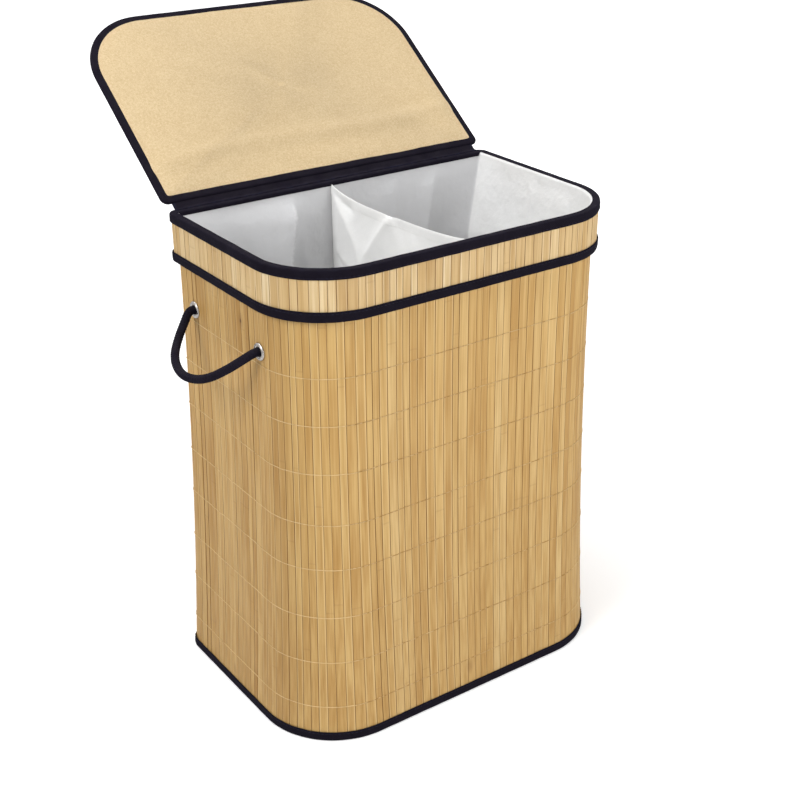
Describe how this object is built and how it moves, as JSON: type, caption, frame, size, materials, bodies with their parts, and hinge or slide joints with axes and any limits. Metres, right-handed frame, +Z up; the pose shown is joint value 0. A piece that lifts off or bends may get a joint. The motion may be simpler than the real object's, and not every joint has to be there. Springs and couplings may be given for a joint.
{
  "type": "two-bin laundry hamper",
  "caption": "Tall bamboo-slat laundry hamper with a hinged lid on a lift-off collar, a divided cloth liner and rope side handles.",
  "frame": {"origin": "centre of the underside of the base, between the middles of the collar's width and depth", "axes": "+X along the long front towards its right end as seen from the front, +Y to the back where the lid is hinged, +Z up"},
  "size_m": [0.5558, 0.5239, 0.7542],
  "materials": {
    "bamboo": "split bamboo slats, satin, light and honey tones side by side",
    "edge_tape": "woven navy binding tape, matt, stitched near its edges",
    "rope": "braided navy cotton rope, matt",
    "backing_cloth": "pale non-woven backing, matt",
    "lid_lining": "tan non-woven lining, matt, slightly rippled",
    "liner_cloth": "white woven liner cloth, matt, creased",
    "board": "grey-brown fibre board, matt",
    "eyelet_metal": "bright plated, polished"
  },
  "bodies": {
    "basket": {"body_slats": "bamboo", "body_backing": "backing_cloth", "body_bottom_binding": "edge_tape", "base_cover": "edge_tape", "base_board": "board", "eyelet_left_front": "eyelet_metal", "eyelet_left_rear": "eyelet_metal", "eyelet_right_front": "eyelet_metal", "eyelet_right_rear": "eyelet_metal", "washer_left_front": "eyelet_metal", "washer_left_rear": "eyelet_metal", "washer_right_front": "eyelet_metal", "washer_right_rear": "eyelet_metal", "rope_end_left_front": "rope", "rope_end_left_rear": "rope", "rope_end_right_front": "rope", "rope_end_right_rear": "rope"},
    "liner": {"liner_bag": "liner_cloth", "liner_divider": "liner_cloth"},
    "collar": {"collar_slats": "bamboo", "collar_backing": "backing_cloth", "collar_top_binding": "edge_tape", "collar_bottom_binding": "edge_tape", "lid_hinge_tape": "edge_tape"},
    "lid": {"lid_lining": "lid_lining", "lid_board": "board", "lid_slats": "bamboo", "lid_binding": "edge_tape"},
    "left_handle": {"handle_rope_left": "rope"},
    "right_handle": {"handle_rope_right": "rope"}
  },
  "joints": [
    {"name": "liner_lift", "type": "slide", "parent": "basket", "child": "liner", "axis": [0, 0, 1], "range_m": [0, 0.62]},
    {"name": "collar_lift", "type": "slide", "parent": "liner", "child": "collar", "axis": [0, 0, 1], "range_m": [0, 0.08]},
    {"name": "lid_hinge", "type": "hinge", "parent": "collar", "child": "lid", "pos_m": [0, 0.1437, 0.5857], "axis": [-1, 0, 0], "range_deg": [-144, 124]},
    {"name": "left_handle_swing", "type": "hinge", "parent": "basket", "child": "left_handle", "pos_m": [-0.22556, 0.025, 0.475], "axis": [0, 1, 0], "range_deg": [-48, 112]},
    {"name": "right_handle_swing", "type": "hinge", "parent": "basket", "child": "right_handle", "pos_m": [0.22556, 0.025, 0.475], "axis": [0, -1, 0], "range_deg": [-48, 112]}
  ]
}
